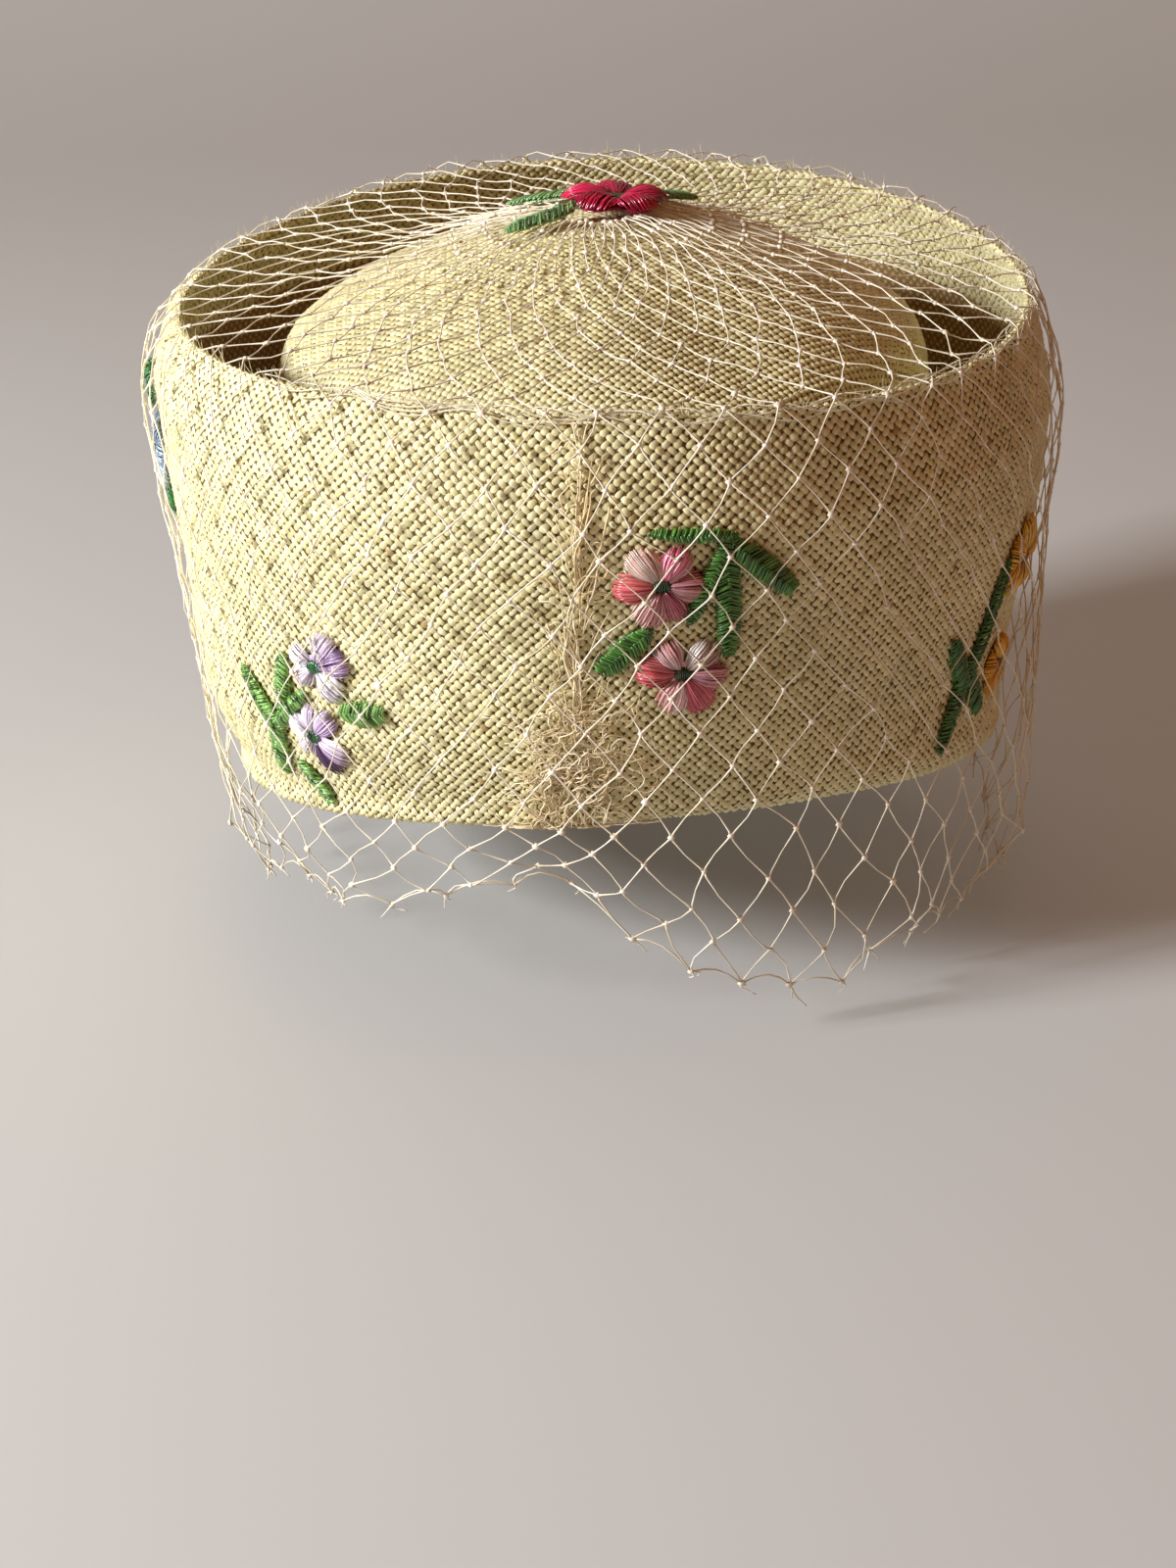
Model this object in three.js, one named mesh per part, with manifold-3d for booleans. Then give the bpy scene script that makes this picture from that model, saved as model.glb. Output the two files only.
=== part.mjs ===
// A pillbox hat of woven straw with a net veil and embroidered flower trims.
// Millimetres, +Z up. The side with the veil's seam faces -Y and +X is to its right.
// The origin is the middle of the head opening, at the level of the lowest straw edge.
import * as THREE from 'three';
import { mergeVertices } from 'three/addons/utils/BufferGeometryUtils.js';
import Module from 'manifold-3d';

// Driving dimensions
const planDepth = 1.05; // front to back, over side to side
const strawThickness = 1.5;
const netThickness = 1.0; // the bulk of the gathered net
const pieceGap = 0.4; // between neighbouring pieces
const azimuthSteps = 52;

const foldRadius = 89; // where the brim's bottom edge folds under
const foldDepth = 8; // height of the folded-in lip
const lipSetback = 1.45; // the lip stands this far inside the fold
const lipTurn = 2.4; // height over the fold where the lip straightens
const foldSwell = { out: 1.5, up: 2.2 }; // the start of the wall, from the fold
const baseHeight = 6.5; // the wall has turned up by this height over the fold
const lowShare = 0.22; // heights of the low and waist lines, as shares of the wall's height
const waistShare = 0.48;
const waistRadius = 99.8;
const widestRadius = 103.6;

const crownFootRadius = foldRadius - 3.3;
const crownShoulderRadius = 73.9;
const crownShoulderHeight = 100.4;
const crownApexHeight = 130.2;
const crownFootLift = 1; // the head wall stops this far over the fold
const crownLean = 1.4; // over 1, the head wall leans in towards its top
const domePower = 1.55; // 2 is an ellipse, less is more pointed
const dent = { azimuth: 25, radius: 56, spread: 14, depth: 3 };

const trimThickness = 1.4;
const flowerCore = 3.2; // radius of a flower's middle, inside its petals
const petalWiden = 8; // degrees a petal widens for each millimetre it is grown
const trimStandoff = 0.5; // trims ride this far off the curved straw
const veilStandoff = 3.3; // middle of the net, off the straw and over the trims
const veilGatherRadius = 8;
const veilTentRadius = 42; // where the net leaves the dome for the rim
const veilDrop = 26; // how far under the widest line the net starts to hang free
const veilPull = 1; // the stretched net lies this much closer over the dome
const veilOverRim = [{ out: -3, up: 1.6 }, { out: 2.6, up: 0.4 }]; // its turn, from the rim

// The wall and the veil's hem by azimuth, in even steps round the hat: 0 is the side with
// the seam, 90 is +X. Heights of the bottom fold, the widest line and the rim, radii of the
// base, the low line and the rim, and the height and radius of the veil's lower edge.
const rounds = [
  { azimuth: 0, foldZ: 20.5, widestZ: 90.5, rimZ: 114, baseR: 92,
    lowR: 96, rimR: 97.5, hemZ: 3, hemR: 100 },
  { azimuth: 30, foldZ: 19, widestZ: 89, rimZ: 112, baseR: 93,
    lowR: 95, rimR: 98.5, hemZ: -22, hemR: 102 },
  { azimuth: 60, foldZ: 11, widestZ: 89, rimZ: 111.5, baseR: 93.7,
    lowR: 94.2, rimR: 98, hemZ: -18, hemR: 102 },
  { azimuth: 90, foldZ: 0, widestZ: 91, rimZ: 113.5, baseR: 93.7,
    lowR: 94.2, rimR: 97.5, hemZ: -19, hemR: 102 },
  { azimuth: 120, foldZ: -4, widestZ: 94.5, rimZ: 117, baseR: 92.8,
    lowR: 95.2, rimR: 97.5, hemZ: -20, hemR: 101 },
  { azimuth: 150, foldZ: 0, widestZ: 98, rimZ: 120.5, baseR: 92,
    lowR: 96, rimR: 98, hemZ: -20, hemR: 100 },
  { azimuth: 180, foldZ: 5, widestZ: 102, rimZ: 122, baseR: 92,
    lowR: 96, rimR: 98, hemZ: -18, hemR: 100 },
  { azimuth: 210, foldZ: 5, widestZ: 105, rimZ: 120.5, baseR: 92,
    lowR: 96, rimR: 97.5, hemZ: -18, hemR: 98 },
  { azimuth: 240, foldZ: 1, widestZ: 106, rimZ: 116.5, baseR: 91.2,
    lowR: 96.6, rimR: 97, hemZ: -17, hemR: 97 },
  { azimuth: 270, foldZ: 1, widestZ: 103, rimZ: 113.5, baseR: 90.6,
    lowR: 97.6, rimR: 96.5, hemZ: -15, hemR: 95 },
  { azimuth: 300, foldZ: 8, widestZ: 98, rimZ: 114, baseR: 90.6,
    lowR: 97.8, rimR: 96.5, hemZ: -5, hemR: 98.8 },
  { azimuth: 330, foldZ: 16, widestZ: 93.5, rimZ: 115, baseR: 91.2,
    lowR: 97.2, rimR: 96.5, hemZ: 1, hemR: 99.6 },
];

const wasm = await Module();
wasm.setup();

const hat = new THREE.Group();

// A column of the table above at any azimuth in degrees, by a closed Catmull-Rom curve.
function around(column, azimuth) {
  const count = rounds.length;
  const place = ((((azimuth % 360) + 360) % 360) / 360) * count;
  const row = Math.floor(place);
  const [a, b, c, d] = [-1, 0, 1, 2].map((step) => rounds[(row + step + count) % count][column]);
  const t = place - row;
  const slope = (c - a) * t;
  const bend = (2 * a - 5 * b + 4 * c - d) * t ** 2;
  const twist = (3 * b - a - 3 * c + d) * t ** 3;
  return b + 0.5 * (slope + bend + twist);
}

// A place on the hat from an azimuth in degrees, a radius at the side and a height.
function place(azimuth, radius, height) {
  const angle = THREE.MathUtils.degToRad(azimuth);
  return new THREE.Vector3(radius * Math.sin(angle), -radius * planDepth * Math.cos(angle), height);
}

// A closed solid from a mesh: shared vertices merged and the faces turned outwards.
function closed(geometry) {
  const bare = geometry.index ? geometry.toNonIndexed() : geometry;
  bare.deleteAttribute('normal');
  bare.deleteAttribute('uv');
  const merged = mergeVertices(bare, 1e-4);
  const index = merged.index.array;
  const corner = (k) => new THREE.Vector3().fromBufferAttribute(merged.attributes.position, index[k]);
  const kept = [];
  let volume = 0;
  for (let k = 0; k < index.length; k += 3) {
    if (new Set([index[k], index[k + 1], index[k + 2]]).size < 3) continue;
    kept.push([index[k], index[k + 1], index[k + 2]]);
    volume += corner(k).dot(corner(k + 1).cross(corner(k + 2)));
  }
  merged.setIndex(kept.flatMap(([a, b, c]) => (volume < 0 ? [a, c, b] : [a, b, c])));
  return merged;
}

function toSolid(geometry) {
  const vertProperties = new Float32Array(geometry.attributes.position.array);
  const triVerts = new Uint32Array(geometry.index.array);
  return new wasm.Manifold(new wasm.Mesh({ numProp: 3, vertProperties, triVerts }));
}

function toGeometry(solid) {
  const mesh = solid.getMesh();
  const geometry = new THREE.BufferGeometry();
  geometry.setAttribute('position', new THREE.BufferAttribute(mesh.vertProperties.slice(), 3));
  geometry.setIndex(Array.from(mesh.triVerts));
  return geometry;
}

function add(name, geometry, color, roughness) {
  const material = new THREE.MeshStandardMaterial({ color, roughness, metalness: 0 });
  const mesh = new THREE.Mesh(geometry, material);
  mesh.name = name;
  hat.add(mesh);
}

// Straw, net and thread colours
const straw = '#d9cc96';
const net = '#e6dcc3';
const frayedThread = '#b48f55';
const leafGreen = '#2f7a3d';

// A cloth wall round the hat. middleLine(azimuth) gives the points of the wall's middle line as
// Vector2(radius, height) pairs, smoothed into a curve with two steps from point to point, and
// half the thickness goes on each side.
function sheet(middleLine, thickness, onAxis) {
  const steps = 2 * (middleLine(0).length - 1);
  const outline = (azimuth) => {
    const curve = new THREE.SplineCurve(middleLine(azimuth));
    const line = curve.getPoints(steps);
    const side = (way) => line.map((point, i) => {
      const along = curve.getTangent(i / steps);
      const off = new THREE.Vector2(along.y, -along.x).multiplyScalar((way * thickness) / 2);
      if (onAxis && i === steps) off.set(0, off.length() * Math.sign(off.y));
      return point.clone().add(off);
    });
    const loop = [...side(1), ...side(-1).reverse()];
    return onAxis ? [...loop.slice(steps + 1), ...loop.slice(0, steps + 1)] : [...loop, loop[0]];
  };
  const geometry = new THREE.LatheGeometry(outline(0), azimuthSteps);
  const position = geometry.attributes.position;
  for (let i = 0; i <= azimuthSteps; i += 1) {
    const azimuth = ((i % azimuthSteps) * 360) / azimuthSteps;
    outline(azimuth).forEach((point, j, all) => {
      const spot = place(azimuth, point.x, point.y);
      position.setXYZ(i * all.length + j, spot.x, spot.y, spot.z);
    });
  }
  return closed(geometry);
}

// Brim: a deep turned-up band of woven straw. Its bottom edge is folded in against the crown,
// and the wall flares to the widest line and leans in again to the rim.
function brimLine(azimuth) {
  const foldZ = around('foldZ', azimuth);
  const rimZ = around('rimZ', azimuth);
  const inset = strawThickness / 2;
  return [
    new THREE.Vector2(foldRadius - lipSetback, foldZ + foldDepth),
    new THREE.Vector2(foldRadius - lipSetback, foldZ + lipTurn),
    new THREE.Vector2(foldRadius, foldZ + inset),
    new THREE.Vector2(foldRadius + foldSwell.out, foldZ + foldSwell.up),
    new THREE.Vector2(around('baseR', azimuth) - inset, foldZ + baseHeight),
    new THREE.Vector2(around('lowR', azimuth) - inset, foldZ + (rimZ - foldZ) * lowShare),
    new THREE.Vector2(waistRadius - inset, foldZ + (rimZ - foldZ) * waistShare),
    new THREE.Vector2(widestRadius - inset, around('widestZ', azimuth)),
    new THREE.Vector2(around('rimR', azimuth), rimZ - inset),
  ];
}
add('brim', sheet(brimLine, strawThickness, false), straw, 0.75);

// Crown: the head wall from the opening up to the shoulder, and the domed tip over it, which
// has one soft dent.
function domeHeight(radius, azimuth) {
  const share = Math.min(1, radius / crownShoulderRadius) ** domePower;
  const rise = (crownApexHeight - crownShoulderHeight) * (1 - share) ** (1 / domePower);
  const away = place(azimuth, radius, 0).distanceTo(place(dent.azimuth, dent.radius, 0));
  return crownShoulderHeight + rise - dent.depth * Math.exp(-((away / dent.spread) ** 2));
}

function crownLine(azimuth) {
  const foldZ = around('foldZ', azimuth);
  const wallShares = [0, 0.5, 1];
  const wall = wallShares.map((share) => new THREE.Vector2(
    THREE.MathUtils.lerp(crownFootRadius, crownShoulderRadius, share ** crownLean),
    THREE.MathUtils.lerp(foldZ + crownFootLift, crownShoulderHeight, share),
  ));
  const domeShares = [0.96, 0.8, 0.5, 0.2, 0];
  const dome = domeShares.map((share) => {
    const radius = share * crownShoulderRadius;
    return new THREE.Vector2(radius, domeHeight(radius, azimuth));
  });
  return [...wall, ...dome];
}
add('crown', sheet(crownLine, strawThickness, true), straw, 0.75);

// The radius of the brim's outer face at a height.
function wallRadius(azimuth, height) {
  const [pointCount, pointsBeforeWall] = [90, 34];
  const line = new THREE.SplineCurve(brimLine(azimuth)).getPoints(pointCount).slice(pointsBeforeWall);
  const above = Math.max(1, line.findIndex((point) => point.y >= height));
  const [low, high] = [line[above - 1], line[above]];
  const share = THREE.MathUtils.clamp((height - low.y) / (high.y - low.y), 0, 1);
  return THREE.MathUtils.lerp(low.x, high.x, share) + strawThickness / 2;
}

// Veil: the outer form of the net, which is gathered on the tip, runs over the dome and across to
// the rim, and hangs from the widest part of the brim to its wavy lower edge.
function veilLine(azimuth) {
  const rimZ = around('rimZ', azimuth);
  const rimR = around('rimR', azimuth);
  const widestZ = around('widestZ', azimuth);
  const overDome = veilStandoff - veilPull;
  const [inside, outside] = veilOverRim;
  const tentZ = domeHeight(veilTentRadius, 180 + azimuth) + overDome;
  const hangZ = widestZ - veilDrop;
  const hangR = wallRadius(azimuth, hangZ) + veilStandoff;
  const hemZ = around('hemZ', azimuth);
  const hemR = around('hemR', azimuth);
  return [
    new THREE.Vector2(veilGatherRadius, domeHeight(veilGatherRadius, azimuth) + overDome),
    new THREE.Vector2(veilTentRadius / 2, domeHeight(veilTentRadius / 2, azimuth) + overDome),
    new THREE.Vector2(veilTentRadius, Math.max(tentZ, domeHeight(veilTentRadius, azimuth) + overDome)),
    new THREE.Vector2((veilTentRadius + rimR) / 2, (tentZ + rimZ + veilPull) / 2),
    new THREE.Vector2(rimR + inside.out, rimZ + inside.up),
    new THREE.Vector2(rimR + outside.out, rimZ + outside.up),
    new THREE.Vector2(widestRadius + veilStandoff, widestZ),
    new THREE.Vector2(hangR, hangZ),
    new THREE.Vector2(THREE.MathUtils.lerp(hangR, hemR, 0.6), THREE.MathUtils.lerp(hangZ, hemZ, 0.5)),
    new THREE.Vector2(hemR, hemZ + 1),
  ];
}
add('veil', sheet(veilLine, netThickness, false), net, 0.9);

// A trim is laid out in a plane, x to the right and y up from its anchor in millimetres, and
// wrapped on the brim's outer face. lift is the distance off the straw.
function onWall(anchor, x, y, lift) {
  const height = anchor.z + y;
  const turn = THREE.MathUtils.radToDeg(x / wallRadius(anchor.azimuth, height));
  const azimuth = anchor.azimuth + turn;
  return place(azimuth, wallRadius(azimuth, height) + trimStandoff + lift, height);
}

// The rosette's pieces are laid out the same way, on the gathered net over the dome's top.
const rosette = { x: 4, y: 0 };
function onTop(anchor, x, y, lift) {
  const spot = new THREE.Vector2(anchor.x + x, anchor.y + y);
  const radius = Math.hypot(spot.x, spot.y / planDepth);
  const azimuth = THREE.MathUtils.radToDeg(Math.atan2(spot.x, -spot.y / planDepth));
  const height = domeHeight(radius, azimuth) + veilStandoff + pieceGap + lift;
  return new THREE.Vector3(spot.x, spot.y, height);
}

// An embroidered flower: a padded disc whose edge swells out at each petal. petals give the
// direction in degrees, 0 to the right and 90 up, the reach and half the petal's spread. grow
// swells it on every side, for cutting its neighbours back.
function flower(surface, anchor, centre, petals, grow = 0) {
  const geometry = new THREE.SphereGeometry(1, 26, 6);
  const position = geometry.attributes.position;
  const core = flowerCore;
  for (let i = 0; i < position.count; i += 1) {
    const [u, w, v] = [position.getX(i), position.getY(i), position.getZ(i)];
    const angle = THREE.MathUtils.radToDeg(Math.atan2(v, u));
    const swell = petals.map(({ direction, reach, spread }) => {
      const off = Math.abs(((angle - direction + 540) % 360) - 180) / (spread + grow * petalWiden);
      return (reach - core) * Math.sqrt(Math.max(0, Math.cos((Math.min(off, 1) * Math.PI) / 2)));
    });
    const radius = (core + Math.max(...swell) + grow) * Math.min(1, Math.hypot(u, v));
    const turn = THREE.MathUtils.degToRad(angle);
    const lift = w > 0.01 ? trimThickness * Math.sqrt(w) : (w > -0.01 ? trimThickness * 0.35 : 0);
    const x = centre.x + radius * Math.cos(turn);
    const y = centre.y + radius * Math.sin(turn);
    const level = Math.abs(w) < 0.01 ? 0 : Math.sign(w);
    const spot = surface(anchor, x, y, lift + level * grow);
    position.setXYZ(i, spot.x, spot.y, spot.z);
  }
  return closed(geometry);
}

// An embroidered leaf or stem: a flat-backed pad from one point to another.
function leaf(surface, anchor, { x, y, toX, toY, width }, order) {
  const geometry = new THREE.SphereGeometry(1, 8, 8);
  const position = geometry.attributes.position;
  const along = new THREE.Vector2(toX - x, toY - y);
  const across = new THREE.Vector2(-along.y, along.x).normalize();
  for (let i = 0; i < position.count; i += 1) {
    const [u, s, w] = [position.getX(i), position.getY(i), position.getZ(i)];
    const spot = new THREE.Vector2(x, y)
      .addScaledVector(along, (1 - s) / 2)
      .addScaledVector(across, (u * width) / 2);
    const lift = Math.max(0, w) * trimThickness * 0.8 + order * 0.07;
    const out = surface(anchor, spot.x, spot.y, lift);
    position.setXYZ(i, out.x, out.y, out.z);
  }
  return closed(geometry);
}

// One flower trim: each flower is a node, and each spray of leaves is joined and cut back
// from the flowers that lie beside it.
function trim(name, surface, anchor, flowers, sprays) {
  const cutters = [];
  for (const { label, color, centre, petals } of flowers) {
    add(`${name}_flower${label}`, flower(surface, anchor, centre, petals), color, 0.55);
    cutters.push(toSolid(flower(surface, anchor, centre, petals, pieceGap)));
  }
  for (const { label, leaves } of sprays) {
    let spray = leaves.map((row, i) => toSolid(leaf(surface, anchor, row, i)))
      .reduce((joined, next) => joined.add(next));
    for (const cutter of cutters) spray = spray.subtract(cutter);
    add(`${name}_${label}`, toGeometry(spray), leafGreen, 0.6);
  }
}

const sixPetals = (turn, reach) => [0, 60, 120, 180, 240, 300].map((step) => (
  { direction: turn + step, reach, spread: 34 }));
const fivePetals = (turn, reach) => [0, 72, 144, 216, 288].map((step) => (
  { direction: turn + step, reach, spread: 40 }));

trim('pink', onWall, { azimuth: 7.5, z: 69.5 }, [
  {
    label: '_upper',
    color: '#c9838a',
    centre: { x: -2.8, y: 10 },
    petals: [
      { direction: 128, reach: 9.5, spread: 36 },
      { direction: 182, reach: 9.5, spread: 32 },
      { direction: 58, reach: 9, spread: 36 },
      { direction: 352, reach: 9.5, spread: 34 },
      { direction: 250, reach: 10, spread: 32 },
      { direction: 292, reach: 9, spread: 30 },
    ],
  },
  {
    label: '_lower',
    color: '#c48d92',
    centre: { x: 1.8, y: -11 },
    petals: [
      { direction: 122, reach: 8.6, spread: 34 },
      { direction: 172, reach: 9.8, spread: 34 },
      { direction: 42, reach: 9, spread: 36 },
      { direction: 350, reach: 9.5, spread: 32 },
      { direction: 255, reach: 9.6, spread: 34 },
      { direction: 298, reach: 10.4, spread: 32 },
    ],
  },
], [
  {
    label: 'leaf_spray',
    leaves: [
      { x: -5.5, y: 21.5, toX: 13, toY: 19.8, width: 3.4 },
      { x: 10.5, y: 19.5, toX: 25.4, toY: 5.4, width: 6.4 },
      { x: 10.5, y: 20, toX: 11.6, toY: -8, width: 6 },
      { x: 11.5, y: 20.5, toX: 3, toY: 0.5, width: 4 },
    ],
  },
  { label: 'leaf_low', leaves: [{ x: -4.5, y: 0, toX: -15.2, toY: -9.8, width: 6.4 }] },
]);

trim('lilac', onWall, { azimuth: -40.2, z: 44.2 }, [
  {
    label: '_upper',
    color: '#d9cfd8',
    centre: { x: 1.7, y: 9.4 },
    petals: [
      { direction: 60, reach: 9, spread: 36 },
      { direction: 18, reach: 9.4, spread: 34 },
      { direction: 165, reach: 7.6, spread: 38 },
      { direction: 215, reach: 7.8, spread: 34 },
      { direction: 312, reach: 9, spread: 42 },
    ],
  },
  {
    label: '_lower',
    color: '#cfc4d2',
    centre: { x: -1.6, y: -8.4 },
    petals: [
      { direction: 95, reach: 7.4, spread: 34 },
      { direction: 50, reach: 8.4, spread: 34 },
      { direction: 160, reach: 7.8, spread: 36 },
      { direction: 222, reach: 7.4, spread: 34 },
      { direction: 325, reach: 8.8, spread: 38 },
      { direction: 285, reach: 9.6, spread: 30 },
    ],
  },
], [
  {
    label: 'leaf_spray',
    leaves: [
      { x: -25.5, y: 2, toX: -13, toY: -10.5, width: 5 },
      { x: -8.8, y: 10.5, toX: -11.6, toY: -8, width: 5.2 },
      { x: -2.6, y: 2.6, toX: -15, toY: -10, width: 4.2 },
      { x: -13.6, y: -7, toX: -18.8, toY: -24, width: 5.6 },
    ],
  },
  { label: 'leaf_right', leaves: [{ x: 6.4, y: -0.6, toX: 18.6, toY: 1.6, width: 6.4 }] },
  { label: 'leaf_low', leaves: [{ x: -11, y: -17.5, toX: -5, toY: -28, width: 4.6 }] },
]);

trim('yellow', onWall, { azimuth: 60.2, z: 42.5 }, [
  { label: '_upper', color: '#c8952f', centre: { x: 13, y: 17 }, petals: fivePetals(80, 9.4) },
  { label: '_lower', color: '#c98f2a', centre: { x: 12, y: -9.5 }, petals: fivePetals(100, 7.4) },
], [
  {
    label: 'leaf_spray',
    leaves: [
      { x: 3, y: 20, toX: -6, toY: -9, width: 4.8 },
      { x: -17, y: 7, toX: -7, toY: -9, width: 5.4 },
      { x: -5.4, y: -1, toX: -15.5, toY: -21.5, width: 5 },
      { x: -6, y: -4, toX: 2.5, toY: -17.5, width: 6 },
    ],
  },
]);

trim('blue', onWall, { azimuth: -84, z: 86 }, [
  { label: '', color: '#8fa3b4', centre: { x: 1, y: -4 }, petals: sixPetals(0, 8.6) },
], [
  { label: 'leaf_high', leaves: [{ x: 3, y: 6.5, toX: 1, toY: 17, width: 5 }] },
  { label: 'leaf_low', leaves: [{ x: -3, y: -13, toX: -8, toY: -23, width: 4.6 }] },
]);

trim('rosette', onTop, rosette, [
  { label: '', color: '#c2214d', centre: { x: 0, y: 0 }, petals: fivePetals(20, 12) },
], [
  { label: 'leaf_front', leaves: [{ x: -9, y: -6.5, toX: -25, toY: -14, width: 6 }] },
  { label: 'leaf_back', leaves: [{ x: -9, y: 6.5, toX: -25, toY: 14.5, width: 6 }] },
  { label: 'leaf_right', leaves: [{ x: 9, y: 8.5, toX: 19, toY: 18, width: 5 }] },
]);

// Veil seam: the frayed threads where the two ends of the net meet, flat against the straw
// from the rim to the bottom edge, with a thick tuft near the foot.
const seamRows = [
  { z: 110, azimuth: -3, halfWidth: 0.6, thickness: 0.6 },
  { z: 104, azimuth: -3, halfWidth: 3.2, thickness: 0.9 },
  { z: 80, azimuth: -3.3, halfWidth: 3, thickness: 0.9 },
  { z: 60, azimuth: -4.6, halfWidth: 3.2, thickness: 1 },
  { z: 53, azimuth: -4.6, halfWidth: 6, thickness: 1.3 },
  { z: 45, azimuth: -4.2, halfWidth: 8.6, thickness: 1.6 },
  { z: 37, azimuth: -4.8, halfWidth: 7.2, thickness: 1.5 },
  { z: 30, azimuth: -6.5, halfWidth: 4.5, thickness: 1.1 },
  { z: 27, azimuth: -7.2, halfWidth: 0.6, thickness: 0.6 },
];

// A row of the table above between its ends, by share of its height.
function seamRow(share) {
  const z = THREE.MathUtils.lerp(seamRows[0].z, seamRows.at(-1).z, share);
  const below = Math.max(1, seamRows.findIndex((row) => row.z <= z + 1e-6));
  const [high, low] = [seamRows[below - 1], seamRows[below]];
  const part = (high.z - z) / (high.z - low.z);
  const mix = (column) => THREE.MathUtils.lerp(high[column], low[column], part);
  return { z, azimuth: mix('azimuth'), halfWidth: mix('halfWidth'), thickness: mix('thickness') };
}

function seam() {
  const rings = 20;
  const geometry = new THREE.SphereGeometry(1, 10, rings);
  const position = geometry.attributes.position;
  for (let i = 0; i < position.count; i += 1) {
    const polar = Math.acos(THREE.MathUtils.clamp(position.getY(i), -1, 1));
    const ring = Math.round((polar / Math.PI) * rings);
    const row = seamRow(ring / rings);
    const girth = Math.hypot(position.getX(i), position.getZ(i));
    const tip = ring === 0 || ring === rings;
    const x = tip ? 0 : (position.getX(i) / girth) * row.halfWidth;
    const swell = tip ? 0.5 : Math.max(0, position.getZ(i) / girth);
    const spot = onWall({ azimuth: row.azimuth, z: row.z }, x, 0, swell * row.thickness);
    position.setXYZ(i, spot.x, spot.y, spot.z);
  }
  return closed(geometry);
}
add('veil_seam', seam(), frayedThread, 0.9);

export default hat;
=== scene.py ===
# A pillbox hat: a blocked body of woven straw under a gathered net veil, with flower trims.
# Metres, +Z up. Azimuths are in degrees: 0 is the side with the veil's seam (-Y), 90 is +X.
import math

import bmesh
import bpy
import numpy as np
from mathutils import Matrix, Vector
from mathutils.bvhtree import BVHTree


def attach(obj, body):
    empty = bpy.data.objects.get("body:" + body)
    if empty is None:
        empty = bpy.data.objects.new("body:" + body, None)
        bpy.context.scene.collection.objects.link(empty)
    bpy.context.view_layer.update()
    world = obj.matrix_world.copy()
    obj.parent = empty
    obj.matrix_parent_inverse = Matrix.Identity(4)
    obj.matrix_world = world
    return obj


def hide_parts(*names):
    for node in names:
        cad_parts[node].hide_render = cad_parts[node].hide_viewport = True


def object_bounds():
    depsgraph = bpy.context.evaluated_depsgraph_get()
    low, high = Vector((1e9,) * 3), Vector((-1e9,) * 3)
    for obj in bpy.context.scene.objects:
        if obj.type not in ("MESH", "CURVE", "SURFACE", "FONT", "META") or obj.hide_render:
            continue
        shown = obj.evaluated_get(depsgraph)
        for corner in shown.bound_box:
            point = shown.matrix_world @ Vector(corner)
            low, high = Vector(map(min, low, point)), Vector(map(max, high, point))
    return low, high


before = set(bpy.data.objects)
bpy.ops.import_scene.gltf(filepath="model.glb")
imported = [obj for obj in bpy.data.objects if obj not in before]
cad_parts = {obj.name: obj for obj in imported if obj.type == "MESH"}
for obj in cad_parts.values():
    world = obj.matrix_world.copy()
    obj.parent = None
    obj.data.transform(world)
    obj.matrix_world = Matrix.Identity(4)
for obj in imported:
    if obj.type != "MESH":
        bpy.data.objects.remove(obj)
cad_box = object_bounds()
MM = 0.001

# ---- Camera: a little above the rim, aimed under the hat, with a slight tilt of the horizon.
sight = Vector((0, 0, 0.1136))
elevation = math.radians(14.45)
away = 0.7
tilt_down, turn, roll = math.radians(23.88), math.radians(0.55), math.radians(-1.8)
camera_data = bpy.data.cameras.new("camera")
camera_data.lens = 68.5
camera = bpy.data.objects.new("camera", camera_data)
bpy.context.collection.objects.link(camera)
camera.location = sight + away * Vector((0, -math.cos(elevation), math.sin(elevation)))
aim = Matrix.Rotation(turn, 3, "Z") @ Matrix.Rotation(math.pi / 2 - tilt_down, 3, "X")
camera.rotation_euler = (aim @ Matrix.Rotation(roll, 3, "Z")).to_euler()
bpy.context.scene.camera = camera


# ---- Studio: a plain pale floor that curves up into a backdrop, a key lamp from the left that
# leaves the right side in half shade, a weak warm fill from the right and a faint lamp above.
def linear(code):
    """An sRGB hex colour such as "#d9cc96" as linear RGBA."""
    channels = [int(code[k : k + 2], 16) / 255 for k in (1, 3, 5)]
    return [c / 12.92 if c <= 0.04045 else ((c + 0.055) / 1.055) ** 2.4 for c in channels] + [1]


def add_node(material, kind, inputs=(), **settings):
    """Adds a shader node with its settings, its values and its links."""
    tree = material.node_tree
    made = tree.nodes.new("ShaderNode" + kind)
    for name, value in settings.items():
        setattr(made, name, value)
    for name, value in dict(inputs).items():
        if isinstance(value, bpy.types.NodeSocket):
            tree.links.new(value, made.inputs[name])
        else:
            made.inputs[name].default_value = value
    return made


def new_material(name, **finish):
    """A material whose Principled shader has these values, and that shader."""
    material = bpy.data.materials.new(name)
    material.use_nodes = True
    shader = material.node_tree.nodes["Principled BSDF"]
    for key, value in finish.items():
        shader.inputs[key.replace("_", " ")].default_value = value
    return material, shader


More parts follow.
